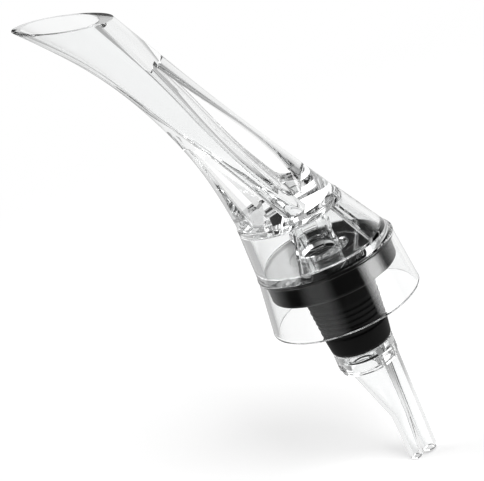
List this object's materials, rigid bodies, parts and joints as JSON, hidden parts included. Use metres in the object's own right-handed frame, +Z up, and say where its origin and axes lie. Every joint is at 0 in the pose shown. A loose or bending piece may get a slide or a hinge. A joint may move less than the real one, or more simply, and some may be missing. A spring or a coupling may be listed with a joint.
{
  "type": "wine aerator pourer",
  "caption": "Clear aerating pourer with a flared beak, a slanted chamber in a skirt, and a black ringed stopper for a bottle's neck.",
  "frame": {"origin": "centre of the stopper flange's underside, where the bottle's lip sits", "axes": "+Z up the pourer towards the beak, -X towards the beak's tip, XZ is the plane of symmetry"},
  "size_m": [0.0791, 0.0458, 0.167],
  "materials": {
    "spout_acrylic": "clear, polished",
    "bell_acrylic": "clear, polished",
    "inner_acrylic": "clear, polished",
    "tail_acrylic": "clear, polished",
    "stopper_rubber": "satin"
  },
  "bodies": {
    "root": {"spout": "spout_acrylic", "bell": "bell_acrylic", "chamber_plate": "inner_acrylic", "aerator_core": "inner_acrylic", "stopper": "stopper_rubber", "tail": "tail_acrylic"}
  },
  "joints": []
}
